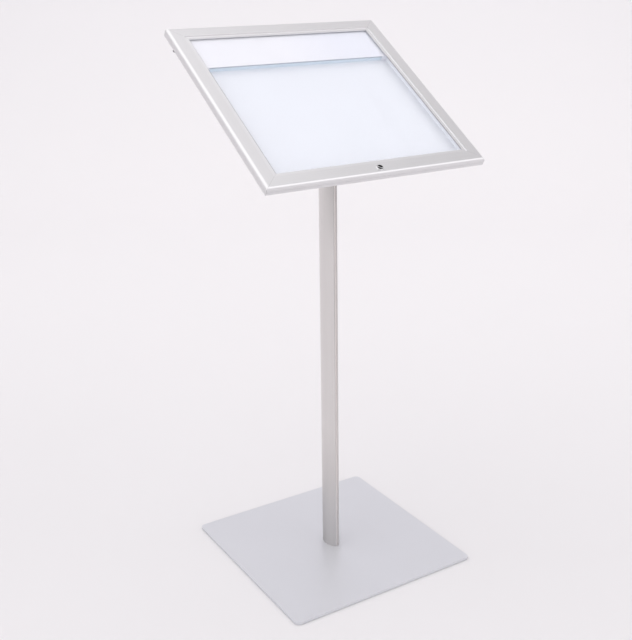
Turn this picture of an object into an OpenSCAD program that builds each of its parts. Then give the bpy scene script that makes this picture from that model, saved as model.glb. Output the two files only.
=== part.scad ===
// Lockable menu case on a post, all sizes in millimetres
// X runs across the reader's view, -Y is the reader's side and Z is up
// The origin is on the floor under the middle of the base

/* [Base] */
// Side of the square base plate
base_w = 450; // [360:10:560]
// Thickness of the base plate
base_t = 5; // [4:0.5:10]
// Corner radius of the base plate
base_corner_r = 11; // [4:1:30]
// Diameter of a floor pad
pad_d = 36; // [20:1:60]
// Thickness of a floor pad
pad_t = 1; // [0.8:0.1:4]
// Distance from a plate edge to the middle of a pad
pad_inset = 34; // [32:1:80]

/* [Post] */
// Length of the post
post_len = 940; // [700:10:1200]
// Size of the post from front to back
post_y = 54; // [46:1:80]
// Thickness of the post between its two bowed faces
post_x = 31; // [28:1:40]
// Width of the narrow front and back faces
post_edge_w = 8; // [7:0.5:12]
// Wall of the post
post_wall = 2.2; // [1.8:0.1:3]
// Width of the slot in each narrow face
slot_w = 4; // [3:0.2:5]
// Depth of the slot in each narrow face
slot_depth = 3; // [2:0.5:8]
// Distance of each screw port from the middle of the post
port_y = 11; // [10:0.5:13]
// Radius of the bore of a screw port
port_r = 3.5; // [2.5:0.1:4]
// Wall round the bore of a screw port
port_wall = 2.4; // [1.6:0.1:3]
// Length of a post screw inside its port
port_screw_len = 24; // [12:1:60]

/* [Head bracket] */
// Lean of the case face from level, in degrees
tilt = 32.4; // [20:0.2:45]
// Height of the bracket's head plate over the post, on the post's axis
bracket_rise = 33; // [31:1:60]
// Distance of the head plate below the middle of the case, along the slope
head_drop = 25; // [0:1:60]
// Width of the head plate across the case
head_plate_w = 160; // [120:5:240]
// Length of the head plate up the slope
head_plate_h = 120; // [100:5:180]
// Thickness of the head plate
head_plate_t = 4; // [3:0.5:6]
// Width of the foot plate on the post
foot_x = 42; // [40:1:60]
// Length of the foot plate on the post
foot_y = 60; // [54:1:64]
// Thickness of the foot plate
foot_t = 5; // [3:0.5:6]
// Thickness of each side cheek
cheek_t = 4; // [3:0.5:5]
// Distance of the case screws from the edges of the head plate
head_screw_inset = 15; // [10:1:25]

/* [Case] */
// Outer width of the case
case_w = 494; // [420:2:620]
// Outer length of the case up its slope
case_h = 469; // [400:1:600]
// Depth of the visible edge, door and case rail together
edge_depth = 16.5; // [16.3:0.1:22]
// Depth from the face to the rear of the back sheet
case_depth = 28; // [26:0.5:40]
// Joint gap between the closed door and the case
joint_gap = 0.3; // [0.2:0.05:0.5]
// Wall of the case rails
case_wall = 1.5; // [1.2:0.1:1.7]
// Wall of the outer side of the case rails
side_wall = 1.8; // [1.5:0.1:2.2]
// Width of the lip that the cam hooks under
lip_w = 8.2; // [7:0.1:8.3]
// Thickness of that lip
lip_t = 2.2; // [2:0.1:2.3]
// Width of the ledge from the outer side to the inner leg
ledge_w = 27.3; // [27:0.1:28]
// Width of the foot flange that carries the back sheet
foot_flange_w = 10; // [8:0.5:14]
// Thickness of the back sheet
back_t = 1.5; // [1:0.1:2]
// Thickness of the white magnetic panel
panel_t = 1; // [0.8:0.1:1.5]
// Space between the back sheet and the white panel
panel_space = 8.5; // [7.5:0.1:9]
// Width of a foam spacer under the white panel
spacer_w = 14; // [8:1:24]

/* [Door] */
// Depth of the door rails
door_depth = 10; // [9.6:0.1:10.2]
// Radius of the rounded outer edge
edge_r = 6; // [4:0.25:7]
// Width of the flat face, from the outer side to the step
face_w = 27.8; // [27.2:0.1:28.2]
// Width of the slanting step between the face and the inner lip
step_w = 0.8; // [0.4:0.1:1]
// Depth of the inner lip below the face
step_drop = 2; // [1.6:0.1:2.2]
// Thickness of the inner lip
tip_t = 0.9; // [0.8:0.05:1.2]
// Width from the outer side to the edge of the inner lip
inner_w = 34.8; // [33.6:0.1:36]
// Wall of the door rails
door_wall = 1.8; // [1.4:0.1:2]
// Thickness of the underside wall of the door rails
door_floor = 2.2; // [2:0.1:2.6]
// Width from the outer side to the inner leg
leg_w = 26.6; // [26:0.1:27.2]
// Thickness of the glazing
glazing_t = 2; // [1.5:0.1:2.2]
// Thickness of the gasket over the glazing
gasket_t = 0.5; // [0.4:0.05:0.7]
// Width of the gasket bead that shows
gasket_bead = 1.5; // [1:0.1:2]

/* [Hinge] */
// Radius of the round bead on the case leaf
bead_r = 1.3; // [1.2:0.05:1.5]
// Running clearance between the bead and its claw
bead_play = 0.1; // [0.04:0.01:0.1]
// Wall of the claw
claw_wall = 1; // [0.8:0.05:1.1]
// Gap between the claw and the side of the rails
claw_gap = 0.4; // [0.3:0.05:0.6]
// Angle at which the claw ends, below level
claw_end = 26; // [15:1:30]
// Width of each hinge leaf
leaf_w = 8; // [7:0.1:8.1]
// Thickness of each hinge leaf
leaf_t = 1; // [0.8:0.05:1.1]
// Distance from each end of the case to the end of the hinge
hinge_inset = 12; // [8:1:40]
// Distance between hinge screws
hinge_pitch = 60; // [40:5:100]

/* [Lock] */
// Distance of the lock from the lower outer side
lock_inset = 14; // [13.8:0.1:14.6]
// Radius of the lock's round rim
rim_r = 7.6; // [6.8:0.1:8]
// Height of the rim over the face
rim_t = 1.8; // [1.2:0.1:2.4]
// Radius of the lock barrel
barrel_r = 5.4; // [5:0.1:5.5]
// Radius of the turning plug
plug_r = 4.2; // [3.6:0.1:4.4]
// Running clearance of the plug in its barrel
plug_play = 0.05; // [0.03:0.01:0.08]
// Recess of the plug face below the rim
plug_recess = 0.7; // [0.3:0.1:1]
// Thickness of the cam
cam_t = 1.8; // [1.6:0.1:1.9]
// Reach of the cam from the lock's axis
cam_reach = 10.5; // [9.5:0.1:11]
// Width of the cam
cam_w = 8; // [7:0.1:8.4]
// Side of the square tail that carries the cam
tail_w = 5; // [4:0.1:5.2]

/* [Light] */
// Visible height of the header cover below the top rail's inner edge
header_show = 88; // [50:1:140]
// Depth of the header cover's face below the case face
header_depth = 6.2; // [6:0.1:7]
// Thickness of the header cover
header_t = 1; // [0.8:0.1:1.5]
// Width of each closed end of the header's lower side
header_end_w = 15.5; // [8:0.5:30]
// Distance of the diffuser behind the header's lower edge
diffuser_back = 2.5; // [2:0.1:6]
// Thickness of the diffuser
diffuser_t = 2; // [1:0.1:3]
// Distance from each end of the header cover to the light strip board
board_inset = 23; // [23:1:80]
// Distance from each end of the header cover to its screw
header_screw_inset = 14; // [8:1:14]
// Width of the light strip board
board_w = 5; // [4:0.5:5]
// Thickness of the light strip board
board_t = 1.6; // [1:0.1:2]
// Distance between light chips
chip_pitch = 20; // [15:1:40]
// Side of one light chip
chip_w = 3; // [2:0.5:4]
// Distance of the power inlet from the left side of the case
inlet_inset = 8; // [7.9:0.1:9]
// Distance of the power inlet from the top edge of the case
inlet_down = 40.5; // [36:0.5:60]
// Radius of the power inlet body
inlet_r = 4; // [3.5:0.1:4.5]
// Radius of the power socket in the inlet
socket_r = 2.8; // [2:0.1:3]
// Depth of the power socket
socket_depth = 8; // [5:0.5:8]
// Length of the power inlet below the ledge
inlet_len = 9; // [9:0.5:18]
// Width of the flat internal lead
lead_w = 2.4; // [1.6:0.2:4]
// Thickness of the flat internal lead
lead_t = 1.2; // [0.8:0.1:1.3]
// Length of each arm of a case corner key
case_key_arm = 28; // [24:1:29]
// Length of each arm of a door corner key
door_key_arm = 48; // [36:1:60]

/* [Fasteners] */
// Shank radius of the post screws
m8_r = 3.45; // [2.4:0.05:3.45]
// Head radius of the post screws
m8_head_r = 7; // [6:0.1:7.5]
// Head height of the post screws
m8_head_h = 3.6; // [3:0.1:3.8]
// Shank radius of the screws that hold the case
m5_r = 2.5; // [2:0.1:2.8]
// Head radius of the screws that hold the case
m5_head_r = 4.75; // [4:0.05:5.5]
// Head height of the screws that hold the case
m5_head_h = 2.75; // [2:0.05:3.5]
// Height of the nuts that hold the case
m5_nut_h = 4; // [3:0.1:4.2]
// Shank radius of the small screws
small_r = 1.5; // [1.2:0.05:1.7]
// Head radius of the small screws
small_head_r = 2.9; // [2.5:0.05:3.2]
// Head height of the small pan head screws
small_head_h = 1.8; // [1.4:0.1:2]
// Shank radius of the hinge screws
hinge_screw_r = 1.2; // [0.9:0.05:1.3]
// Head radius of the hinge screws
hinge_head_r = 2; // [1.7:0.05:2.2]
// Distance from a corner of the case to the first back rivet
rivet_inset = 70; // [50:5:100]
// Distance of a key screw from the end of its key's arm
key_screw_end = 8; // [6:1:10]
// Clearance round a screw in its hole
hole_play = 0.05; // [0.03:0.01:0.1]
// Clearance round a part that slides into another
fit_play = 0.1; // [0.05:0.05:0.15]

/* [Hidden] */
$fn = 64;

// Sides of the frames: 0 lower front, 1 right, 2 upper back, 3 left
LOWER = 0;
RIGHT = 1;
UPPER = 2;
LEFT = 3;

// Heights of the base and post
plate_z = pad_t;
plate_top = plate_z + base_t;
post_top = plate_top + post_len;

// The case frame: the face plane is z = 0, y runs up the slope
head_z = -(case_depth + head_plate_t);
case_y = head_drop * cos(tilt) + head_z * sin(tilt);
case_z = post_top + bracket_rise + head_drop * sin(tilt) - head_z * cos(tilt);

// Levels in the case frame
case_top = -door_depth - joint_gap;
lip_under = case_top - lip_t;
ledge_under = -edge_depth;
ledge_top = ledge_under + case_wall;
back_top = -case_depth + back_t;
flange_top = back_top + case_wall;
panel_under = back_top + panel_space;
panel_top = panel_under + panel_t;

// Levels in the door
lip_low = -step_drop - tip_t;
glazing_top = lip_low - gasket_t;
glazing_low = glazing_top - glazing_t;
cavity_low = -door_depth + door_floor;
shelf_top = glazing_low - 2 * gasket_t + fit_play;
glazing_play = 1;
shelf_back = 4.8;
glazing_edge = leg_w + glazing_play;
shelf_w = inner_w - shelf_back;
bead_w = inner_w + gasket_bead;

// Hinge axis and claw
claw_r = bead_r + bead_play + claw_wall;
hinge_y = case_h / 2 + claw_r + claw_gap;
hinge_z = -door_depth - joint_gap / 2;
hinge_len = case_w - 2 * hinge_inset;
hinge_end = 10;
hinge_screws = floor((hinge_len - 2 * hinge_end) / hinge_pitch);

// Lock
lock_y = -case_h / 2 + lock_inset;
cam_top = lip_under - 0.3;
barrel_low = cam_top + 0.6;
nut_af = 15;
nut_t = 3;
nut_r = nut_af / 2 / cos(30);
nut_play = 0.7;
rim_bevel = 0.5;
key_slot = [5.2, 1.2, 3];

// Header and light
header_low = case_h / 2 - bead_w - header_show;
header_top = case_h / 2 - ledge_w - fit_play;
header_half = case_w / 2 - ledge_w - fit_play;
rim_level = cavity_low - 0.5;
raise_w = shelf_w + 0.6;
light_half = header_half - header_end_w;
board_len = 2 * (header_half - board_inset);
board_y = header_top - header_t;
board_z = rim_level - header_t - 1 - board_w / 2;
header_screw_z = panel_top + hinge_head_r + 0.2;
inlet_x = -case_w / 2 + inlet_inset;
inlet_y = case_h / 2 - inlet_down;
inlet_nut_h = 2;
stub_top = ledge_top + inlet_nut_h + 0.4;

// Groove for the door seal
seal_w = 3;
seal_d = 1;
seal_in = 3;

// Foam spacers stay this far from the foot flanges
spacer_gap = 4;

// Hexagonal sockets as shares of a screw head's radius and height
drive_share = 0.5;
drive_depth_share = 0.6;

module tilted() {
    translate([0, case_y, case_z]) rotate([tilt, 0, 0]) children();
}

// Length of the side and distance of its outer edge from the middle
function side_len(k) = k % 2 == 0 ? case_w : case_h;
function side_out(k) = k % 2 == 0 ? case_h / 2 : case_w / 2;

// Puts children on side k, where y = 0 is the outer side and y grows inwards
module on_side(k) {
    rotate([0, 0, 90 * k]) translate([0, -side_out(k), 0]) children();
}

// A straight bar along x whose section is drawn as (inwards, up)
module bar(length) {
    rotate([90, 0, 90]) linear_extrude(length, center = true) children();
}

// A bar on side k with both ends cut at 45 degrees
module mitred(k, depth) {
    half = side_len(k) / 2;
    on_side(k) intersection() {
        bar(side_len(k)) children();
        translate([0, 0, -case_depth - 1]) linear_extrude(case_depth + 2)
            polygon([[-half, 0], [half, 0], [half - depth, depth], [-half + depth, depth]]);
    }
}

// A block given by its lowest and highest corners
module block(low, high) {
    translate(low) cube(high - low);
}

// A square ring set in from the outer sides of the case by near, and hollow from far inwards
module ring(near, far, low, high) {
    difference() {
        block([-case_w / 2 + near, -case_h / 2 + near, low],
            [case_w / 2 - near, case_h / 2 - near, high]);
        block([-case_w / 2 + far, -case_h / 2 + far, low - 1],
            [case_w / 2 - far, case_h / 2 - far, high + 1]);
    }
}

// A rivet pointing up, with its flat head under z = 0
module rivet(shank_r, length, head_r, head_h) {
    cylinder(r = shank_r, h = length);
    translate([0, 0, -head_h]) cylinder(r = head_r, h = head_h);
}

// The hexagonal socket in a head whose outer face is at z = 0
module drive(head_r, depth) {
    translate([0, 0, -1]) cylinder(r = head_r * drive_share, h = depth + 1, $fn = 6);
}

// A round screw pointing up, with its head under z = 0
module pan_screw(shank_r, length, head_r, head_h) {
    difference() {
        rivet(shank_r, length, head_r, head_h);
        translate([0, 0, -head_h]) drive(head_r, head_h * drive_depth_share);
    }
}

// A countersunk screw pointing up, with its head's flat face at z = 0
module sunk_screw(shank_r, length, head_r) {
    difference() {
        union() {
            cylinder(r = shank_r, h = length);
            cylinder(r1 = head_r, r2 = shank_r, h = head_r - shank_r);
        }
        drive(head_r, (head_r - shank_r) * drive_depth_share);
    }
}

// The space that a countersunk screw needs
module sunk_hole(shank_r, length, head_r) {
    translate([0, 0, -0.01]) cylinder(r = shank_r + hole_play, h = length + 0.02);
    cylinder(r1 = head_r + hole_play, r2 = shank_r + hole_play, h = head_r - shank_r);
    translate([0, 0, -1]) cylinder(r = head_r + hole_play, h = 1);
}

// Base

module base_plate() {
    inner = base_w - 2 * base_corner_r;
    color("gainsboro") difference() {
        translate([0, 0, plate_z]) linear_extrude(base_t) union() {
            square([base_w, inner], center = true);
            square([inner, base_w], center = true);
            for (x = [-1, 1], y = [-1, 1])
                translate([x * inner / 2, y * inner / 2]) circle(base_corner_r);
        }
        for (y = [-1, 1]) translate([0, y * port_y, plate_z])
            sunk_hole(m8_r, base_t + 1, m8_head_r);
    }
}

module base_pads() {
    reach = base_w / 2 - pad_inset;
    color("dimgray") for (x = [-1, 1], y = [-1, 1])
        translate([x * reach, y * reach, 0]) cylinder(d = pad_d, h = pad_t);
}

module base_screws() {
    color("darkgray") for (y = [-1, 1]) translate([0, y * port_y, plate_z])
        sunk_screw(m8_r, base_t + port_screw_len, m8_head_r);
}

// Post

// Lens outline between two bowed faces, drawn inwards by a margin
module lens(margin) {
    bow = (post_x - post_edge_w) / 2;
    bow_r = (pow(post_y / 2, 2) + pow(bow, 2)) / (2 * bow);
    shift = bow_r - post_x / 2;
    intersection() {
        translate([shift, 0]) circle(bow_r - margin, $fn = 128);
        translate([-shift, 0]) circle(bow_r - margin, $fn = 128);
        square([post_x, post_y], center = true);
    }
}

module post_section() {
    channel_wall = 1.6;
    channel_y = post_y / 2 - slot_depth - channel_wall;
    difference() {
        lens(0);
        difference() {
            lens(post_wall);
            for (y = [-1, 1]) {
                translate([0, y * port_y]) circle(port_r + port_wall);
                translate([0, y * port_y]) square([post_x, port_wall], center = true);
                translate([0, y * (channel_y + post_y / 4)])
                    square([post_x, post_y / 2], center = true);
            }
        }
        for (y = [-1, 1]) {
            translate([0, y * port_y]) circle(port_r);
            translate([0, y * (post_y / 2 - slot_depth / 2 + 1)])
                square([slot_w, slot_depth + 2], center = true);
        }
    }
}

module post() {
    color("silver") translate([0, 0, plate_top]) linear_extrude(post_len) post_section();
}

// Head bracket

module head_screw_places() {
    for (x = [-1, 1], y = [-1, 1])
        translate([x * (head_plate_w / 2 - head_screw_inset),
            -head_drop + y * (head_plate_h / 2 - head_screw_inset), 0]) children();
}

module head_bracket() {
    low_z = post_top + foot_t / 2;
    seat_z = post_top + bracket_rise + 1;
    half = foot_y / 2;
    color("silver") difference() {
        union() {
            block([-foot_x / 2, -half, post_top], [foot_x / 2, half, post_top + foot_t]);
            for (x = [-1, 1]) translate([x * (foot_x - cheek_t) / 2, 0, 0])
                rotate([90, 0, 90]) linear_extrude(cheek_t, center = true)
                    polygon([[-half, low_z], [half, low_z],
                        [half, seat_z + half * tan(tilt)], [-half, seat_z - half * tan(tilt)]]);
            tilted() block([-head_plate_w / 2, -head_drop - head_plate_h / 2, head_z],
                [head_plate_w / 2, -head_drop + head_plate_h / 2, -case_depth]);
        }
        for (y = [-1, 1]) translate([0, y * port_y, post_top - 1])
            cylinder(r = m8_r + hole_play, h = foot_t + 2);
        tilted() head_screw_places() translate([0, 0, head_z - 1])
            cylinder(r = m5_r + hole_play, h = head_plate_t + 2);
    }
}

module post_screws() {
    color("darkgray") for (y = [-1, 1]) translate([0, y * port_y, post_top + foot_t])
        mirror([0, 0, 1]) pan_screw(m8_r, foot_t + port_screw_len, m8_head_r, m8_head_h);
}

module bracket_screws() {
    reach = head_plate_t + back_t + m5_nut_h + 0.3;
    color("darkgray") tilted() head_screw_places() translate([0, 0, head_z])
        pan_screw(m5_r, reach, m5_head_r, m5_head_h);
}

module bracket_nuts() {
    color("darkgray") tilted() head_screw_places() translate([0, 0, back_top])
        difference() {
            cylinder(r = m5_head_r, h = m5_nut_h, $fn = 6);
            translate([0, 0, -1]) cylinder(r = m5_r + hole_play, h = m5_nut_h + 2);
        }
}

// Case rails

module case_section(has_seal) {
    difference() {
        union() {
            translate([0, ledge_under]) square([side_wall, case_top - ledge_under]);
            translate([0, lip_under]) square([lip_w, lip_t]);
            translate([0, ledge_under]) square([ledge_w, case_wall]);
            translate([ledge_w - case_wall, back_top]) square([case_wall, case_top - back_top]);
            translate([ledge_w - case_wall, back_top])
                square([case_wall + foot_flange_w, case_wall]);
        }
        if (has_seal) translate([seal_in, case_top - seal_d]) square([seal_w, seal_d + 1]);
    }
}

// Places of the back rivets along side k, in the foot flange
module rivet_places(k) {
    count = 4;
    step = (side_len(k) - 2 * rivet_inset) / (count - 1);
    on_side(k) for (i = [0:count - 1])
        translate([-side_len(k) / 2 + rivet_inset + i * step, ledge_w + foot_flange_w / 2, 0]) children();
}

// Places of the two corner key screws next to the ends of side k
module case_key_places(k) {
    on_side(k) for (x = [-1, 1])
        translate([x * (side_len(k) / 2 - case_key_arm + key_screw_end), ledge_w / 2, 0]) children();
}

module hinge_places() {
    for (i = [0:hinge_screws])
        translate([(i - hinge_screws / 2) * hinge_pitch, case_h / 2 - leaf_w / 2, 0]) children();
}

module header_screw_places() {
    for (x = [-1, 1]) translate([x * (header_half - header_screw_inset), header_top, header_screw_z])
        children();
}

module case_rail(k) {
    color("gainsboro") tilted() difference() {
        mitred(k, ledge_w + foot_flange_w) case_section(k != UPPER);
        rivet_places(k) translate([0, 0, back_top - 1])
            cylinder(r = small_r + hole_play, h = case_wall + 2);
        case_key_places(k) translate([0, 0, ledge_under - 1])
            cylinder(r = small_r + hole_play, h = case_wall + 2);
        if (k == UPPER) {
            block([-hinge_len / 2 - fit_play, case_h / 2 - leaf_w - fit_play, case_top - leaf_t],
                [hinge_len / 2 + fit_play, case_h / 2 + 1, case_top + 1]);
            hinge_places() translate([0, 0, lip_under - 1])
                cylinder(r = hinge_screw_r + hole_play, h = lip_t + 2);
            header_screw_places() rotate([-90, 0, 0])
                cylinder(r = hinge_screw_r + hole_play, h = case_wall + 1);
        }
        if (k == LEFT) {
            translate([inlet_x, inlet_y, ledge_under - 1])
                cylinder(r = inlet_r - 1 + hole_play, h = case_wall + 2);
            block([-case_w / 2 + ledge_w - case_wall - 1, inlet_y - lead_w, ledge_top],
                [-case_w / 2 + ledge_w + 1, inlet_y + lead_w, case_top + 1]);
        }
    }
}

module case_rail_top() { case_rail(UPPER); }
module case_rail_bottom() { case_rail(LOWER); }
module case_rail_left() { case_rail(LEFT); }
module case_rail_right() { case_rail(RIGHT); }

// A flat corner key with two arms, its corner at the outer corner of the frame
module corner_key(arm, inset, arm_w, low, high) {
    block([inset, inset, low], [arm, inset + arm_w, high]);
    block([inset, inset, low], [inset + arm_w, arm, high]);
}

// Puts children at each outer corner of the case, with x and y running inwards
module at_corners() {
    for (x = [0, 1], y = [0, 1]) mirror([x, 0, 0]) mirror([0, y, 0])
        translate([-case_w / 2, -case_h / 2, 0]) children();
}

module case_corner_keys() {
    high = lip_under - fit_play;
    color("darkgray") tilted() difference() {
        at_corners() corner_key(case_key_arm, side_wall + fit_play, ledge_w - 6, ledge_top, high);
        for (k = [LOWER, RIGHT, UPPER, LEFT]) case_key_places(k)
            translate([0, 0, ledge_top - 1]) cylinder(r = small_r + hole_play, h = 5);
    }
}

module case_key_screws() {
    color("darkgray") tilted() for (k = [LOWER, RIGHT, UPPER, LEFT]) case_key_places(k)
        translate([0, 0, ledge_under]) pan_screw(small_r, case_wall + 2, small_head_r, small_head_h);
}

// Back of the case

module back_sheet() {
    reach = ledge_w - case_wall;
    color("white") tilted() difference() {
        block([-case_w / 2 + reach, -case_h / 2 + reach, -case_depth],
            [case_w / 2 - reach, case_h / 2 - reach, back_top]);
        for (k = [LOWER, RIGHT, UPPER, LEFT]) rivet_places(k) translate([0, 0, -case_depth - 1])
            cylinder(r = small_r + hole_play, h = back_t + 2);
        head_screw_places() translate([0, 0, -case_depth - 1])
            cylinder(r = m5_r + hole_play, h = back_t + 2);
    }
}

module back_rivets() {
    length = back_t + case_wall + 0.6;
    color("silver") tilted() for (k = [LOWER, RIGHT, UPPER, LEFT]) rivet_places(k)
        translate([0, 0, -case_depth]) rivet(small_r, length, small_head_r, 1);
}

module panel_spacers() {
    half = case_w / 2 - ledge_w - foot_flange_w - spacer_gap;
    row = case_h / 2 - ledge_w - foot_flange_w - spacer_w;
    color("dimgray") tilted() for (y = [-row, -head_drop, row])
        block([-half, y - spacer_w / 2, back_top], [half, y + spacer_w / 2, panel_under]);
}

// A shallow tray: its lower, left and right sides are folded up to the door's shelf
module magnet_panel() {
    half_w = case_w / 2 - ledge_w - fit_play;
    half_h = case_h / 2 - ledge_w - fit_play;
    side_top = header_low - 2 * joint_gap;
    color("white") tilted() {
        block([-half_w, -half_h, panel_under], [half_w, half_h, panel_top]);
        block([-half_w, -half_h, panel_under], [half_w, -half_h + panel_t, rim_level]);
        for (x = [0, 1]) mirror([x, 0, 0])
            block([-half_w, -half_h, panel_under], [-half_w + panel_t, side_top, rim_level]);
    }
}

// The seal lies in a groove of the lower, left and right lips
module door_seal() {
    play = fit_play / 2;
    color("dimgray") tilted() difference() {
        ring(seal_in + play, seal_in + seal_w - play, case_top - seal_d, case_top + joint_gap / 3);
        block([-case_w, case_h / 2 - leaf_w - fit_play, -case_depth], [case_w, case_h, 0]);
    }
}

// Header and light

// The cover's face is raised through the door frame when the door is closed
module header_cover() {
    face = -header_depth;
    raised_half = case_w / 2 - raise_w;
    raised_top = case_h / 2 - raise_w;
    color("white") tilted() difference() {
        union() {
            block([-header_half, header_low, panel_top], [header_half, header_top, rim_level]);
            block([-raised_half, header_low, panel_top], [raised_half, raised_top, face]);
        }
        block([-header_half + header_t, header_low + header_t, panel_top - 1],
            [header_half - header_t, header_top - header_t, rim_level - header_t]);
        block([-raised_half + header_t, header_low + header_t, panel_top - 1],
            [raised_half - header_t, raised_top - header_t, face - header_t]);
        block([-light_half, header_low - 1, panel_top - 1],
            [light_half, header_low + header_t + 1, face - header_t]);
        header_screw_places() translate([0, -header_t - 1, 0]) rotate([-90, 0, 0])
            cylinder(r = hinge_screw_r + hole_play, h = header_t + 2);
        block([-header_half - 1, inlet_y - 3, panel_top - 1],
            [-header_half + header_t + 1, inlet_y + 3, rim_level - header_t]);
    }
}

// An opal strip that the light leaves the header through, down the slope
module light_diffuser() {
    half = light_half + 4;
    near = header_low + diffuser_back;
    color("white", 0.8) tilted() block([-half, near, panel_top + fit_play],
        [half, near + diffuser_t, -header_depth - header_t - fit_play]);
}

module header_screws() {
    color("darkgray") tilted() header_screw_places() translate([0, -header_t, 0])
        rotate([-90, 0, 0])
            pan_screw(hinge_screw_r, header_t + case_wall + fit_play, hinge_head_r, small_head_h);
}

module led_board() {
    color("white") tilted() block([-board_len / 2, board_y - board_t, board_z - board_w / 2],
        [board_len / 2, board_y, board_z + board_w / 2]);
}

module led_chips() {
    count = floor((board_len - chip_w) / chip_pitch);
    color("khaki") tilted() for (i = [0:count - 1])
        translate([(i - (count - 1) / 2) * chip_pitch, board_y - board_t - 0.5, board_z])
            cube([chip_w, 1, chip_w], center = true);
}

// The flat lead runs over the ledge from the inlet's stub to the end of the board
module led_lead() {
    start = -case_w / 2 + lip_w + fit_play;
    drop = -case_w / 2 + ledge_w - 5;
    turn = -board_len / 2 - 2;
    low = ledge_top + fit_play;
    side = inlet_y - lead_w / 2;
    color("dimgray") tilted() {
        block([start, side, stub_top], [drop, side + lead_w, stub_top + lead_t]);
        block([drop - lead_t, side, low], [drop, side + lead_w, stub_top + lead_t]);
        block([drop - lead_t, side, low], [turn, side + lead_w, low + lead_t]);
        block([turn - lead_w, side, low], [turn, board_y, low + lead_t]);
        block([turn - lead_w, board_y - board_t, low], [-board_len / 2, board_y, low + lead_t]);
    }
}

module power_inlet() {
    color("dimgray") tilted() translate([inlet_x, inlet_y, 0]) difference() {
        union() {
            translate([0, 0, ledge_under - inlet_len]) cylinder(r = inlet_r, h = inlet_len);
            translate([0, 0, ledge_under]) cylinder(r = inlet_r - 1, h = stub_top - ledge_under);
        }
        translate([0, 0, ledge_under - inlet_len - 1]) cylinder(r = socket_r, h = socket_depth + 1);
    }
}

module inlet_nut() {
    color("dimgray") tilted() translate([inlet_x, inlet_y, ledge_top]) difference() {
        cylinder(r = inlet_r + 1.4, h = inlet_nut_h, $fn = 6);
        translate([0, 0, -1]) cylinder(r = inlet_r - 1 + hole_play, h = 4);
    }
}

// Hinge: a claw on the door leaf turns on a bead of the case leaf

module hinge_case_section() {
    translate([-claw_r - claw_gap - leaf_w, -joint_gap / 2 - leaf_t])
        square([claw_r + claw_gap + leaf_w, leaf_t]);
    circle(bead_r);
}

module hinge_door_section() {
    far = 3 * claw_r;
    difference() {
        union() {
            translate([-claw_r - claw_gap - leaf_w, joint_gap / 2])
                square([claw_r + claw_gap + leaf_w, leaf_t]);
            difference() {
                circle(claw_r);
                polygon([[0, joint_gap / 2], [-far, joint_gap / 2], [-far, -far],
                    [far * cos(claw_end), -far],
                    [far * cos(claw_end), -far * sin(claw_end)], [0, 0]]);
            }
        }
        circle(bead_r + bead_play);
    }
}

module hinge_case_leaf() {
    color("silver") tilted() difference() {
        translate([0, hinge_y, hinge_z]) bar(hinge_len) hinge_case_section();
        hinge_places() translate([0, 0, case_top]) mirror([0, 0, 1])
            sunk_hole(hinge_screw_r, lip_t + 1, hinge_head_r);
    }
}

module hinge_case_screws() {
    color("darkgray") tilted() hinge_places() translate([0, 0, case_top]) mirror([0, 0, 1])
        sunk_screw(hinge_screw_r, lip_t + 0.2, hinge_head_r);
}

module hinge_door_leaf() {
    color("silver") tilted() difference() {
        translate([0, hinge_y, hinge_z]) bar(hinge_len) hinge_door_section();
        hinge_places() translate([0, 0, -door_depth])
            sunk_hole(hinge_screw_r, door_floor + 1, hinge_head_r);
    }
}

module hinge_door_screws() {
    color("darkgray") tilted() hinge_places() translate([0, 0, -door_depth])
        sunk_screw(hinge_screw_r, door_floor + 1, hinge_head_r);
}

// Door

// What is cut from a square corner at (inset, -inset) to round it about the edge's centre
module corner_cut(inset) {
    difference() {
        translate([inset - 1, -edge_r]) square(edge_r - inset + 1);
        translate([edge_r, -edge_r]) circle(edge_r - inset);
    }
}

module door_section() {
    cavity_w = leg_w - 2 * door_wall;
    difference() {
        polygon([[0, 0], [face_w, 0], [face_w + step_w, -step_drop],
            [inner_w, -step_drop], [inner_w, lip_low], [leg_w, lip_low],
            [leg_w, shelf_top], [shelf_w, shelf_top], [shelf_w, cavity_low],
            [leg_w, cavity_low], [leg_w, -door_depth], [0, -door_depth]]);
        corner_cut(0);
        difference() {
            translate([door_wall, cavity_low]) square([cavity_w, -door_wall - cavity_low]);
            corner_cut(door_wall);
        }
    }
}

// Places of the door key screws next to the ends of side k
module door_key_places(k) {
    on_side(k) for (x = [-1, 1])
        translate([x * (side_len(k) / 2 - door_key_arm + key_screw_end),
            (edge_r + leg_w - door_wall) / 2, 0]) children();
}

module door_rail(k) {
    color("silver") tilted() difference() {
        mitred(k, inner_w + 1) door_section();
        door_key_places(k) translate([0, 0, -door_depth])
            sunk_hole(small_r, door_floor + 1, small_head_r);
        if (k == UPPER) {
            block([-hinge_len / 2 - fit_play, case_h / 2 - leaf_w - fit_play, -door_depth - 1],
                [hinge_len / 2 + fit_play, case_h / 2 + 1, -door_depth + leaf_t]);
            hinge_places() translate([0, 0, -door_depth - 1])
                cylinder(r = hinge_screw_r + hole_play, h = door_floor + 2);
        }
        if (k == LOWER) translate([0, lock_y, 0]) {
            translate([0, 0, -door_wall - 1])
                cylinder(r = barrel_r + hole_play, h = door_wall + 2);
            translate([0, 0, -door_depth - 1]) cylinder(r = nut_r + nut_play, h = door_floor + 2);
        }
    }
}

module door_rail_top() { door_rail(UPPER); }
module door_rail_bottom() { door_rail(LOWER); }
module door_rail_left() { door_rail(LEFT); }
module door_rail_right() { door_rail(RIGHT); }

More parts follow.
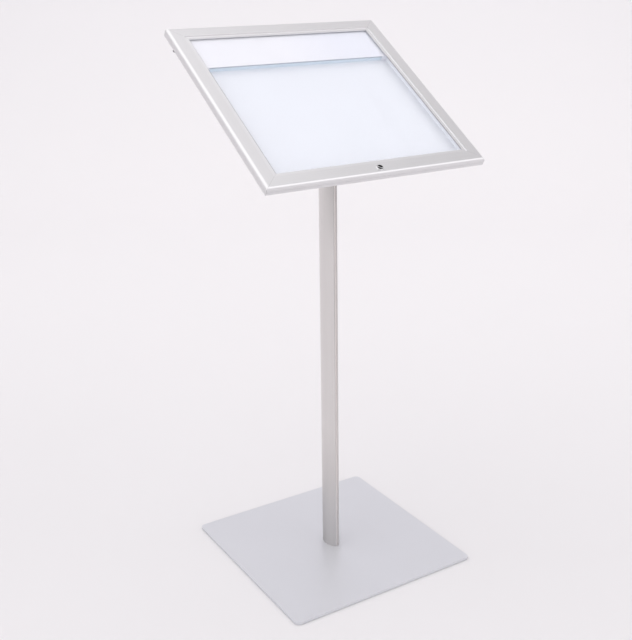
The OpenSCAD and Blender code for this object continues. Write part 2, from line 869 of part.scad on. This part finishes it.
module door_corner_keys() {
    inset = edge_r;
    arm = leg_w - door_wall - fit_play - inset;
    color("darkgray") tilted() difference() {
        at_corners() corner_key(door_key_arm, inset, arm, cavity_low, -door_wall - fit_play);
        for (k = [LOWER, RIGHT, UPPER, LEFT]) door_key_places(k)
            translate([0, 0, cavity_low - 1]) cylinder(r = small_r + hole_play, h = 5);
    }
}

module door_key_screws() {
    color("darkgray") tilted() for (k = [LOWER, RIGHT, UPPER, LEFT]) door_key_places(k)
        translate([0, 0, -door_depth]) sunk_screw(small_r, door_floor + 3, small_head_r);
}

module glazing() {
    half_w = case_w / 2 - glazing_edge;
    half_h = case_h / 2 - glazing_edge;
    color("aliceblue", 0.4) tilted()
        block([-half_w, -half_h, glazing_low], [half_w, half_h, glazing_top]);
}

// A soft channel round the edge of the glazing, with a bead that shows
module glazing_gasket() {
    play = fit_play / 2;
    start = leg_w + play;
    edge = glazing_edge - play;
    color("dimgray") tilted() difference() {
        union() {
            ring(start, shelf_w, shelf_top + play, lip_low - play);
            ring(start, bead_w, glazing_top + play, lip_low - play);
            ring(inner_w + play, bead_w, glazing_top + play, glazing_top + 2 * gasket_t);
        }
        block([-case_w / 2 + edge, -case_h / 2 + edge, glazing_low - play],
            [case_w / 2 - edge, case_h / 2 - edge, glazing_top + play]);
    }
}

// Lock

module lock_barrel() {
    color("gainsboro") tilted() translate([0, lock_y, 0]) difference() {
        union() {
            cylinder(r = rim_r, h = rim_t - rim_bevel);
            translate([0, 0, rim_t - rim_bevel])
                cylinder(r1 = rim_r, r2 = rim_r - rim_bevel, h = rim_bevel);
            translate([0, 0, barrel_low]) cylinder(r = barrel_r, h = -barrel_low);
        }
        translate([0, 0, barrel_low - 1])
            cylinder(r = plug_r + plug_play, h = rim_t - barrel_low + 2);
    }
}

module lock_nut() {
    color("darkgray") tilted() translate([0, lock_y, -door_wall - nut_t]) difference() {
        cylinder(r = nut_r, h = nut_t, $fn = 6);
        translate([0, 0, -1]) cylinder(r = barrel_r + hole_play, h = nut_t + 2);
    }
}

module lock_plug() {
    face = rim_t - plug_recess;
    color("dimgray") tilted() translate([0, lock_y, 0]) difference() {
        union() {
            translate([0, 0, barrel_low]) cylinder(r = plug_r, h = face - barrel_low);
            block([-tail_w / 2, -tail_w / 2, cam_top - cam_t + 1],
                [tail_w / 2, tail_w / 2, barrel_low + 1]);
        }
        translate([0, 0, face]) cube([key_slot.x, key_slot.y, 2 * key_slot.z], center = true);
        translate([0, 0, cam_top - cam_t]) cylinder(r = small_r + hole_play, h = 6);
    }
}

module lock_cam() {
    low = cam_top - cam_t;
    hole = tail_w / 2 + hole_play;
    color("darkgray") tilted() translate([0, lock_y, 0]) difference() {
        union() {
            translate([0, 0, low]) cylinder(r = cam_w / 2 + 1, h = cam_t);
            block([0, -cam_w / 2, low], [cam_reach, cam_w / 2, cam_top]);
        }
        block([-hole, -hole, low - 1], [hole, hole, cam_top + 1]);
        translate([0, 0, low - 1]) cylinder(r = tail_w * 0.75 + hole_play, h = 2);
    }
}

module cam_screw() {
    color("silver") tilted() translate([0, lock_y, cam_top - cam_t]) {
        cylinder(r = tail_w * 0.75, h = 1);
        cylinder(r = small_r, h = 5.5);
    }
}

base_plate();
base_pads();
base_screws();
post();
head_bracket();
post_screws();
bracket_screws();
bracket_nuts();
case_rail_top();
case_rail_bottom();
case_rail_left();
case_rail_right();
case_corner_keys();
case_key_screws();
back_sheet();
back_rivets();
panel_spacers();
magnet_panel();
door_seal();
header_cover();
header_screws();
light_diffuser();
led_board();
led_chips();
led_lead();
power_inlet();
inlet_nut();
hinge_case_leaf();
hinge_case_screws();
hinge_door_leaf();
hinge_door_screws();
door_rail_top();
door_rail_bottom();
door_rail_left();
door_rail_right();
door_corner_keys();
door_key_screws();
glazing();
glazing_gasket();
lock_barrel();
lock_nut();
lock_plug();
lock_cam();
cam_screw();
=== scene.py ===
import math

import bpy
from mathutils import Matrix, Vector

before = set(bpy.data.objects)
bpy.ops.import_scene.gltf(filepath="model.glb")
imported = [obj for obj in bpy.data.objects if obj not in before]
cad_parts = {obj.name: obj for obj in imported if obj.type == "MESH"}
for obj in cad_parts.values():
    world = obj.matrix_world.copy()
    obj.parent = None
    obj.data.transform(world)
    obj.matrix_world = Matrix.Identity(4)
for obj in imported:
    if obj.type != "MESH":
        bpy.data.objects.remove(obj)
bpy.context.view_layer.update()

# Places in metres: the case frame has u across, v up its slope and n out of its face
TILT = math.radians(32.4)
CASE_CENTRE = Vector((0, 0.0039617, 1.0194142))
CASE_HALF_U = 0.247
CASE_HALF_V = 0.2345
LOCK_V = -0.2205
HEADER_LOW = 0.1102

# Where a mask starts and is full, in metres, inward from the edge of the case: the lip's painted
# highlight, the shelf's painted light and the tray walls' painted glow
LIP_RANGE = (0.0274, 0.0280)
SHELF_RANGE = (0.0290, 0.0296)
TRAY_WALL_RANGE = (0.0286, 0.0290)
# The same across a mitre, at the sides, and down from the face
MITRE_RANGE = (0.0001, 0.0006)
SIDE_RANGE = (0.0, 0.0005)
SHELF_DEPTH = (0.0055, 0.0060)
# The middle and half width of the painted highlight lines on the step and beside the lip
STEP_LINE, STEP_HALF = 0.0278, 0.0006
INNER_LINE, INNER_HALF = 0.0338, 0.0018
# The header's painted shade line along its lower edge: up from that edge, and its ends across
HEADER_SHADE_RANGE = (0.0002, 0.0020)
HEADER_SHADE_ENDS = (0.2038, 0.2042)
# The post's slot, painted lighter, and the painted shade line at each side of it
SLOT_RANGE = (0.0019, 0.0021)
SLOT_FRONT = (0.0225, 0.0235)
SLOT_EDGE, SLOT_EDGE_HALF = 0.0032, 0.0012
SLOT_EDGE_FRONT = (0.0250, 0.0262)
# The lock's plug face painted black as painted shade, and the band across it left bright as a
# painted highlight
BLACK_FROM, BLACK_TO = 0.0058, 0.0063
BAND_RANGE = (0.0012, 0.0017)
# The strip's painted shade along its upper edge, measured out of the face
STRIP_PAINTED_SHADE = (-0.0115, -0.0085)

# The camera: its place and turn were fitted to the photograph's straight edges

CAMERA_PLACE = (-1.0703, -1.6897, 1.2560)
CAMERA_YAW, CAMERA_DOWN, CAMERA_ROLL = (math.radians(a) for a in (31.559, 19.523, -0.787))
FOCAL_PIXELS, FRAME_PIXELS, SENSOR = 996.97, 640, 36.0


def set_camera():
    ahead = Vector((math.sin(CAMERA_YAW) * math.cos(CAMERA_DOWN),
                    math.cos(CAMERA_YAW) * math.cos(CAMERA_DOWN), -math.sin(CAMERA_DOWN)))
    level = Vector((math.cos(CAMERA_YAW), -math.sin(CAMERA_YAW), 0))
    upright = level.cross(ahead)
    right = math.cos(CAMERA_ROLL) * level + math.sin(CAMERA_ROLL) * upright
    up = -math.sin(CAMERA_ROLL) * level + math.cos(CAMERA_ROLL) * upright
    lens = bpy.data.cameras.new("camera")
    lens.sensor_width = SENSOR
    lens.lens = FOCAL_PIXELS / FRAME_PIXELS * SENSOR
    lens.clip_end = 60
    camera = bpy.data.objects.new("camera", lens)
    turn = Matrix((right, up, -ahead)).transposed().to_4x4()
    camera.matrix_world = Matrix.Translation(CAMERA_PLACE) @ turn
    bpy.context.scene.collection.objects.link(camera)
    bpy.context.scene.camera = camera


set_camera()


# Materials

class Number:
    """A number that varies over a surface. Its operators add Math nodes."""

    def __init__(self, tree, socket):
        self.tree, self.socket = tree, socket

    def _math(self, operation, *values, clamp=False):
        node = self.tree.nodes.new("ShaderNodeMath")
        node.operation, node.use_clamp = operation, clamp
        for socket, value in zip(node.inputs, values):
            if isinstance(value, Number):
                self.tree.links.new(value.socket, socket)
            else:
                socket.default_value = value
        return Number(self.tree, node.outputs[0])

    def __add__(self, other):
        return self._math("ADD", self, other)

    def __sub__(self, other):
        return self._math("SUBTRACT", self, other)

    def __rsub__(self, other):
        return self._math("SUBTRACT", other, self)

    def __mul__(self, other):
        return self._math("MULTIPLY", self, other)

    def __truediv__(self, other):
        return self._math("DIVIDE", self, other)

    def __abs__(self):
        return self._math("ABSOLUTE", self)

    def least(self, other):
        return self._math("MINIMUM", self, other)

    def most(self, other):
        return self._math("MAXIMUM", self, other)

    def rise(self, low, high):
        """0 at low, 1 at high, limited to that range."""
        return self._math("MULTIPLY", self - low, 1 / (high - low), clamp=True)

    __radd__, __rmul__ = __add__, __mul__


class Finish:
    """A node material under construction."""

    def __init__(self, name):
        self.material = bpy.data.materials.new(name)
        self.material.use_nodes = True
        self.material.cycles.emission_sampling = "NONE"
        self.tree = self.material.node_tree
        self.tree.nodes.clear()

    def node(self, kind, settings=None, **sockets):
        """Adds a node. A socket is named by its name with _ for a space."""
        node = self.tree.nodes.new("ShaderNode" + kind)
        for name, value in (settings or {}).items():
            setattr(node, name, value)
        for name, value in sockets.items():
            socket = pick(node.inputs, name.replace("_", " "))
            if isinstance(value, Number):
                value = value.socket
            if isinstance(value, bpy.types.NodeSocket):
                self.tree.links.new(value, socket)
            else:
                socket.default_value = value
        return node

    def number(self, node, output=0):
        return Number(self.tree, node.outputs[output])

    def surface(self, shader):
        out = self.tree.nodes.new("ShaderNodeOutputMaterial")
        self.tree.links.new(shader.outputs[0], out.inputs["Surface"])
        return self.material

    def place(self):
        """The point on the surface in the part's own frame, in metres."""
        return self.node("TexCoord").outputs["Object"]

    def case_place(self):
        """The same point in the case frame."""
        return self.node("Mapping", {"vector_type": "TEXTURE"}, Vector=self.place(),
                         Location=CASE_CENTRE, Rotation=(TILT, 0, 0)).outputs[0]

    def parts(self, vector):
        split = self.node("SeparateXYZ", Vector=vector)
        return [self.number(split, i) for i in range(3)]

    def noise(self, vector, scale, detail=2.0):
        """Noise of about -1 to 1 with its own scale per metre on each axis."""
        spread = self.node("VectorMath", {"operation": "MULTIPLY"})
        self.tree.links.new(vector, spread.inputs[0])
        spread.inputs[1].default_value = scale
        grain = self.node("TexNoise", Vector=spread.outputs[0], Scale=1.0, Detail=detail)
        return (self.number(grain) - 0.5) * 2.4

    def mix(self, factor, first, second):
        """A colour between two colours."""
        node = self.node("Mix", {"data_type": "RGBA"})
        for socket, value in ((node.inputs[0], factor), (node.inputs[6], first),
                              (node.inputs[7], second)):
            if isinstance(value, Number):
                value = value.socket
            if isinstance(value, bpy.types.NodeSocket):
                self.tree.links.new(value, socket)
            else:
                socket.default_value = value
        return node.outputs[2]

    def bump(self, height, depth):
        return self.node("Bump", Height=height, Distance=depth, Strength=1.0).outputs[0]


def pick(sockets, name):
    return next(s for s in sockets if s.name == name and s.enabled)


def rgb(colour, gain=1.0):
    return (colour[0] * gain, colour[1] * gain, colour[2] * gain, 1)


ALUMINIUM = (0.77, 0.765, 0.775)
SILVER_COAT = (0.70, 0.71, 0.745)
WHITE = (0.885, 0.905, 0.96)


def anodised(name, colour, along, rough=0.32, case=True, mitres=False, foot=False):
    """Satin anodised aluminium with drawing lines along one axis.

    Rails of the case also get their mitre joints, a painted highlight on the lip,
    painted highlight lines beside it, and painted light on the shelf under it.
    The post gets painted shade lines beside its slot, which is painted lighter, painted shade at
    its foot and a painted shadow on its front at its top.
    """
    f = Finish(name)
    where = f.case_place() if case else f.place()
    fine = [2600, 2600, 2600]
    fine[along] = 14
    broad = [260, 260, 260]
    broad[along] = 5
    lines, bands = f.noise(where, fine, 3.0), f.noise(where, broad, 2.0)
    cloud = f.noise(where, (9, 9, 9), 3.0)
    tone = (lines * 0.35 + bands * 0.35 + cloud * 0.3).rise(-1, 1)
    shade = f.mix(tone, rgb(colour, 0.95), rgb(colour, 1.05))
    if mitres:
        u, v, n = f.parts(where)
        side, end = CASE_HALF_U - abs(u), CASE_HALF_V - abs(v)
        inward = side.least(end)
        joint = 1 - abs(side - end).rise(*MITRE_RANGE)
        shade = f.mix(joint * 0.45, shade, rgb(colour, 0.45))
        # Painted highlights: the lip lighter, a line on the step that fades towards the right,
        # and a line beside the lip along the sides
        lip = inward.rise(*LIP_RANGE) * 0.3
        step = 1 - abs(inward - STEP_LINE) / STEP_HALF
        lip = lip.most(step * (0.8 - u.rise(0.0, 0.2) * 0.6))
        sides = (end - side).rise(*SIDE_RANGE)
        lip = lip.most((1 - abs(inward - INNER_LINE) / INNER_HALF) * sides * 1.1)
        shade = f.mix(lip * 0.7, shade, rgb(colour, 1.2))
        # Painted light: the shelf under the lip, in shade, painted near white
        shelf = inward.rise(*SHELF_RANGE) * (0 - n).rise(*SHELF_DEPTH)
        shade = f.mix(shelf, shade, (0.95, 0.95, 0.97, 1))
    if foot:
        x, y, z = f.parts(where)
        # Painted shade: a line each side of the slot on the post's front, fading out towards the
        # foot
        edge = (1 - abs(abs(x) - SLOT_EDGE) / SLOT_EDGE_HALF).most(0.0)
        edge = edge * (0 - y).rise(*SLOT_EDGE_FRONT)
        slot = (1 - abs(x).rise(*SLOT_RANGE)) * (0 - y).rise(*SLOT_FRONT)
        # Painted shade near the floor, stronger towards the post's back
        foot_painted_shade = (1 - z.rise(0.0, 0.3)) * (0.43 + y.rise(-0.02, 0.025) * 0.17)
        shade = f.mix(foot_painted_shade, shade, rgb(colour, 0.4))
        shade = f.mix(edge * z.rise(0.1, 0.6) * 0.8, shade, rgb(colour, 0.5))
        # Painted shadow of the case on the post's front near its top
        front = (0 - y).rise(0.0, 0.025)
        shade = f.mix(front * z.rise(0.70, 0.95), shade, rgb(colour, 0.62))
        # Painted light: the slot lighter than the metal around it
        shade = f.mix(slot, shade, rgb(colour, 1.3))
    metal = f.node("BsdfPrincipled", Base_Color=shade, Metallic=0.92,
                   Roughness=rough + lines * 0.04 + cloud * 0.02,
                   Normal=f.bump(lines * 0.6 + bands * 0.4, 0.00002))
    return f.surface(metal)


def powder_coat(name, colour):
    """Fine silver powder coat with a slight orange peel."""
    f = Finish(name)
    where = f.place()
    peel = f.noise(where, (900, 900, 900), 2.0)
    flake = f.noise(where, (4200, 4200, 4200), 1.0)
    cloud = f.noise(where, (5, 5, 5), 3.0)
    tone = (flake * 0.5 + cloud * 0.5).rise(-1, 1)
    paint = f.node("BsdfPrincipled", Metallic=0.55,
                   Base_Color=f.mix(tone, rgb(colour, 0.97), rgb(colour, 1.03)),
                   Roughness=0.36 + flake * 0.03 + cloud * 0.02,
                   Normal=f.bump(peel, 0.00003))
    return f.surface(paint)


def zinc_plate(name, colour=(0.55, 0.56, 0.58), rough=0.32):
    """Zinc plated steel with a faint spangle and darker handling marks."""
    f = Finish(name)
    where = f.place()
    spangle = f.node("TexVoronoi", Vector=where, Scale=700.0)
    cell = f.number(spangle, 0)
    marks = f.noise(where, (160, 160, 160), 4.0)
    tone = (marks * 0.5 + cell * 0.4).rise(-1, 1)
    steel = f.node("BsdfPrincipled", Base_Color=f.mix(tone, rgb(colour, 0.85), rgb(colour, 1.1)),
                   Metallic=1.0, Roughness=rough + marks * 0.06, Normal=f.bump(cell, 0.00002))
    return f.surface(steel)


def white_lacquer(name, colour, rough=0.38, tray=False, header=False):
    """Smooth white lacquer on sheet metal.

    The tray's sides carry a faint painted glow, as if lit by the header's light. The header has
    painted shade, darker and bluer to the right, and a painted shade line along its bent lower
    edge.
    """
    f = Finish(name)
    where = f.case_place()
    peel = f.noise(where, (1400, 1400, 1400), 1.0)
    cloud = f.noise(where, (7, 7, 7), 3.0)
    shade = f.mix(cloud.rise(-1, 1), rgb(colour, 0.985), rgb(colour, 1.01))
    u, v, _ = f.parts(where)
    if header:
        # Painted shade: the header darker and bluer towards the right
        shade = f.mix(u.rise(-0.02, 0.13), shade, (0.877, 0.887, 0.965, 1))
        # Painted shade line along the header's lower edge
        bend = (1 - (v - HEADER_LOW).rise(*HEADER_SHADE_RANGE)) * (1 - abs(u).rise(*HEADER_SHADE_ENDS))
        shade = f.mix(bend, shade, (0.30, 0.34, 0.42, 1))
    paint = f.node("BsdfPrincipled", Base_Color=shade,
                   Roughness=rough + cloud * 0.02, Normal=f.bump(peel, 0.00001))
    if tray:
        # Painted light: the tray's side walls glow faintly, though they are no lamp
        wall = 1 - (CASE_HALF_U - abs(u)).rise(*TRAY_WALL_RANGE)
        glow = f.mix(wall, (0, 0, 0, 1), (0.95, 0.97, 1.0, 1))
        f.tree.links.new(glow, paint.inputs["Emission Color"])
        paint.inputs["Emission Strength"].default_value = 0.12
    return f.surface(paint)


def moulded(name, colour, rough=0.5):
    """Moulded rubber, foam or plastic with a fine spark-eroded texture."""
    f = Finish(name)
    where = f.place()
    grain = f.noise(where, (3000, 3000, 3000), 2.0)
    cloud = f.noise(where, (60, 60, 60), 3.0)
    tone = (grain * 0.5 + cloud * 0.5).rise(-1, 1)
    plastic = f.node("BsdfPrincipled",
                     Base_Color=f.mix(tone, rgb(colour, 0.88), rgb(colour, 1.12)),
                     Roughness=rough + grain * 0.06, Normal=f.bump(grain, 0.00003))
    return f.surface(plastic)


def gasket_bead(name, colour):
    """Pale rubber bead with painted shade along the sides of the case."""
    f = Finish(name)
    where = f.case_place()
    u, v, _ = f.parts(where)
    grain = f.noise(where, (3000, 3000, 3000), 2.0)
    # Painted shade: the bead darker along the sides, less so beside the header
    sides = (CASE_HALF_V - abs(v) - CASE_HALF_U + abs(u)).rise(*SIDE_RANGE)
    sides = sides * (1 - v.rise(HEADER_LOW - 0.01, HEADER_LOW) * 0.7)
    tone = f.mix(grain.rise(-1, 1), rgb(colour, 0.95), rgb(colour, 1.05))
    rubber = f.node("BsdfPrincipled", Base_Color=f.mix(sides, tone, rgb(colour, 0.55)),
                    Roughness=0.6 + grain * 0.06, Normal=f.bump(grain, 0.00003))
    return f.surface(rubber)


def clear_sheet(name):
    """Clear acrylic sheet: mostly see-through, with a polished surface and faint wipe marks."""
    f = Finish(name)
    where = f.case_place()
    wipes = f.noise(where, (14, 3, 3), 3.0)
    # Painted reflection: the sheet's pale colour at low cover lays a faint white veil over what
    # lies behind it
    sheet = f.node("BsdfPrincipled", Base_Color=(0.93, 0.96, 1.0, 1), IOR=1.49,
                   Roughness=0.05 + wipes.rise(-1, 1) * 0.04,
                   Alpha=0.12 + wipes.rise(0, 1) * 0.02)
    return f.surface(sheet)


def polished(name, colour, rough=0.12):
    """Bright plated metal with fine turning marks, painted black round the keyway as painted
    shade, but for a band left bright as a painted highlight.
    """
    f = Finish(name)
    where = f.case_place()
    u, v, _ = f.parts(where)
    up = v - LOCK_V
    marks = f.noise(where, (700, 700, 90), 2.0)
    # Painted shade: the plug's face black round the keyway, but for a band left bright as a
    # painted highlight
    black = 1 - (u * u + up * up).rise(BLACK_FROM ** 2, BLACK_TO ** 2)
    band = 1 - abs(up * 0.8 + u * 0.6).rise(*BAND_RANGE)
    shade = f.mix(marks.rise(-1, 1), rgb(colour, 0.92), rgb(colour, 1.04))
    plate = f.node("BsdfPrincipled", Metallic=1.0, Roughness=rough + marks * 0.04,
                   Base_Color=f.mix(black * (1 - band), shade, (0.02, 0.02, 0.022, 1)),
                   Normal=f.bump(marks, 0.00001))
    return f.surface(plate)


def opal(name, colour):
    """Milky acrylic strip with a faint grain, a cool painted glow and painted shade along its
    upper edge.
    """
    f = Finish(name)
    where = f.case_place()
    grain = f.noise(where, (60, 800, 800), 2.0)
    cloud = f.noise(where, (12, 200, 200), 2.0)
    tone = f.mix(cloud.rise(-1, 1), rgb(colour, 0.96), rgb(colour, 1.02))
    # Painted shade along the strip's upper edge, and a painted glow, though its chips are unlit
    upper = f.parts(where)[2].rise(*STRIP_PAINTED_SHADE)
    strip = f.node("BsdfPrincipled", Roughness=0.3 + grain * 0.03, Normal=f.bump(grain, 0.00002),
                   Base_Color=f.mix(upper * 0.8, tone, rgb(colour, 0.5)),
                   Emission_Color=f.mix(upper, (0.3, 0.72, 1.0, 1), (0.05, 0.12, 0.16, 1)),
                   Emission_Strength=0.13)
    return f.surface(strip)


def lit_chip(name):
    """The yellow face of a light chip, unlit."""
    f = Finish(name)
    grain = f.noise(f.place(), (1500, 1500, 1500), 2.0)
    chip = f.node("BsdfPrincipled", Roughness=0.25,
                  Base_Color=f.mix(grain.rise(-1, 1),
                                   (0.75, 0.68, 0.30, 1), (0.90, 0.84, 0.48, 1)))
    return f.surface(chip)


ACROSS, ALONG_SLOPE, UPRIGHT = 0, 1, 2
door_across = anodised("door_aluminium_across", ALUMINIUM, ACROSS, mitres=True)
door_slope = anodised("door_aluminium_slope", ALUMINIUM, ALONG_SLOPE, mitres=True)
case_across = anodised("case_aluminium_across", ALUMINIUM, ACROSS, mitres=True)
case_slope = anodised("case_aluminium_slope", ALUMINIUM, ALONG_SLOPE, mitres=True)
post_metal = anodised("post_aluminium", (0.722, 0.700, 0.690), UPRIGHT, 0.34,
                      case=False, foot=True)
base_coat = powder_coat("base_paint", SILVER_COAT)
bracket_coat = powder_coat("bracket_paint", SILVER_COAT)
zinc = zinc_plate("zinc_steel")
key_zinc = zinc_plate("key_zinc", (0.48, 0.48, 0.50), 0.5)
rivet_metal = zinc_plate("rivet_aluminium", (0.66, 0.66, 0.68), 0.38)
white_sheet = white_lacquer("white_sheet", WHITE)
white_panel = white_lacquer("white_panel", WHITE, tray=True)
header_white = white_lacquer("header_white", (0.935, 0.93, 0.975), header=True)
opal_strip = opal("opal_strip", (0.66, 0.72, 0.80))
inlet_grey = moulded("inlet_grey", (0.17, 0.17, 0.18), 0.45)
board_white = moulded("board_white", (0.82, 0.82, 0.80), 0.45)
black_plastic = moulded("black_plastic", (0.045, 0.045, 0.05), 0.42)
pad_rubber = moulded("pad_rubber", (0.09, 0.09, 0.095), 0.75)
seal_rubber = moulded("seal_rubber", (0.05, 0.05, 0.055), 0.7)
gasket_rubber = gasket_bead("gasket_rubber", (0.74, 0.74, 0.77))
foam = moulded("foam", (0.14, 0.14, 0.145), 0.9)
clear = clear_sheet("clear_sheet")
lock_chrome = polished("lock_chrome", (0.82, 0.82, 0.83))
plug_steel = polished("plug_steel", (0.70, 0.70, 0.71), 0.3)
chips = lit_chip("chip_yellow")

FINISHES = {
    "base_plate": base_coat, "base_pads": pad_rubber, "base_screws": zinc, "post": post_metal,
    "head_bracket": bracket_coat, "post_screws": zinc, "bracket_screws": zinc,
    "bracket_nuts": zinc, "case_rail_top": case_across, "case_rail_bottom": case_across,
    "case_rail_left": case_slope, "case_rail_right": case_slope, "case_corner_keys": key_zinc,
    "case_key_screws": zinc, "back_sheet": white_sheet, "back_rivets": rivet_metal,
    "panel_spacers": foam, "magnet_panel": white_panel, "door_seal": seal_rubber,
    "header_cover": header_white, "header_screws": zinc, "light_diffuser": opal_strip,
    "led_board": board_white, "led_chips": chips, "led_lead": black_plastic,
    "power_inlet": inlet_grey, "inlet_nut": inlet_grey, "hinge_case_leaf": case_across,
    "hinge_case_screws": zinc, "hinge_door_leaf": case_across, "hinge_door_screws": zinc,
    "door_rail_top": door_across,
    "door_rail_bottom": door_across, "door_rail_left": door_slope, "door_rail_right": door_slope,
    "door_corner_keys": key_zinc, "door_key_screws": zinc, "glazing": clear,
    "glazing_gasket": gasket_rubber, "lock_barrel": lock_chrome, "lock_nut": zinc,
    "lock_plug": plug_steel, "lock_cam": zinc, "cam_screw": zinc,
}


def finish_frame():
    for name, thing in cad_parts.items():
        for slot in thing.material_slots:
            slot.material = FINISHES[name]


finish_frame()


# The studio: a pale floor that curves up into a backdrop, under broad soft light

def seen_directly(f):
    """1 for rays from the camera, or reflected or refracted on their way to it, else 0."""
    rays = f.node("LightPath")
    return (Number(f.tree, rays.outputs["Is Camera Ray"])
            .most(Number(f.tree, rays.outputs["Is Glossy Ray"]))
            .most(Number(f.tree, rays.outputs["Is Transmission Ray"])))


def studio_white():
    """Pale paper in a round pool of light that stays at one place on the floor."""
    f = Finish("studio_white")
    x, y, z = f.parts(f.place())
    pool_x, pool_y = 0.3, 3.4
    across, along = x - pool_x, y - pool_y
    reach = across * across + along * along
    mottle = f.noise(f.place(), (0.5, 0.5, 0.5), 2.0)
    pool_bright, pool_dull = 1.0, 12.0  # squares of the distance, in square metres
    shade = 1.0 - reach.rise(pool_bright, pool_dull) * 0.07 + mottle * 0.006
    paper = f.node("BsdfPrincipled", Roughness=0.9,
                   Base_Color=f.mix(shade, (0, 0, 0, 1), (0.873, 0.859, 0.869, 1)))
    paper.inputs["Specular IOR Level"].default_value = 0.0
    # Painted light: the backdrop glows faintly, more towards its top and less where the pool
    # fades, for camera rays and reflections only
    lift = seen_directly(f) * z.rise(0.1, 1.6) * shade
    paper.inputs["Emission Strength"].default_value = 1.0
    glow = f.mix(lift, (0, 0, 0, 1), (0.03, 0.03, 0.036, 1))
    f.tree.links.new(glow, paper.inputs["Emission Color"])
    return f.surface(paper)


def lay_floor():
    """Floor and backdrop in one sheet, square to the camera."""
    near, bend, radius, top, half_width, steps = -30.0, 3.0, 2.0, 7.0, 30.0, 24
    profile = [(near, 0.0), (bend, 0.0)]
    for i in range(1, steps + 1):
        a = math.pi / 2 * i / steps
        profile.append((bend + radius * math.sin(a), radius * (1 - math.cos(a))))
    profile.append((bend + radius, top))
    mesh = bpy.data.meshes.new("floor")
    points = [(x, y, z) for y, z in profile for x in (-half_width, half_width)]
    faces = [(2 * i, 2 * i + 1, 2 * i + 3, 2 * i + 2) for i in range(len(profile) - 1)]
    mesh.from_pydata(points, [], faces)
    mesh.materials.append(studio_white())
    for face in mesh.polygons:
        face.use_smooth = True
    floor = bpy.data.objects.new("floor", mesh)
    floor.rotation_euler = (0, 0, -CAMERA_YAW)
    bpy.context.scene.collection.objects.link(floor)


# Broad panels of light in the studio air: direction, half angle in degrees, added strength
LIGHT_PANELS = [((-0.55, 0.25, 0.80), 62, 0.72), ((0.50, -0.72, 0.46), 36, 0.92),
                ((-0.50, -0.80, 0.33), 60, 0.24), ((0.80, 0.20, 0.56), 34, -0.20),
                ((0.36, 0.10, 0.93), 24, 0.36)]
AIR_LOW, AIR_HIGH = 0.55, 0.71


def light_air():
    """Air that gets lighter with height, with the broad panels added to it."""
    world = bpy.data.worlds.new("studio_air")
    world.use_nodes = True
    f = Finish.__new__(Finish)
    f.tree = world.node_tree
    f.tree.nodes.clear()
    toward = f.node("TexCoord").outputs["Generated"]
    height = f.parts(toward)[2]
    strength = AIR_LOW + height.rise(-0.2, 0.9) * (AIR_HIGH - AIR_LOW)
    for direction, spread, gain in LIGHT_PANELS:
        dot = f.node("VectorMath", {"operation": "DOT_PRODUCT"})
        f.tree.links.new(toward, dot.inputs[0])
        dot.inputs[1].default_value = Vector(direction).normalized()
        facing = Number(f.tree, dot.outputs["Value"]).rise(math.cos(math.radians(spread)), 1.0)
        strength = strength + facing * gain
    air = f.node("Background", Color=(1.0, 0.985, 1.0, 1), Strength=strength)
    out = f.tree.nodes.new("ShaderNodeOutputWorld")
    f.tree.links.new(air.outputs[0], out.inputs["Surface"])
    bpy.context.scene.world = world


lay_floor()
light_air()

bpy.context.scene.view_settings.view_transform = "Standard"
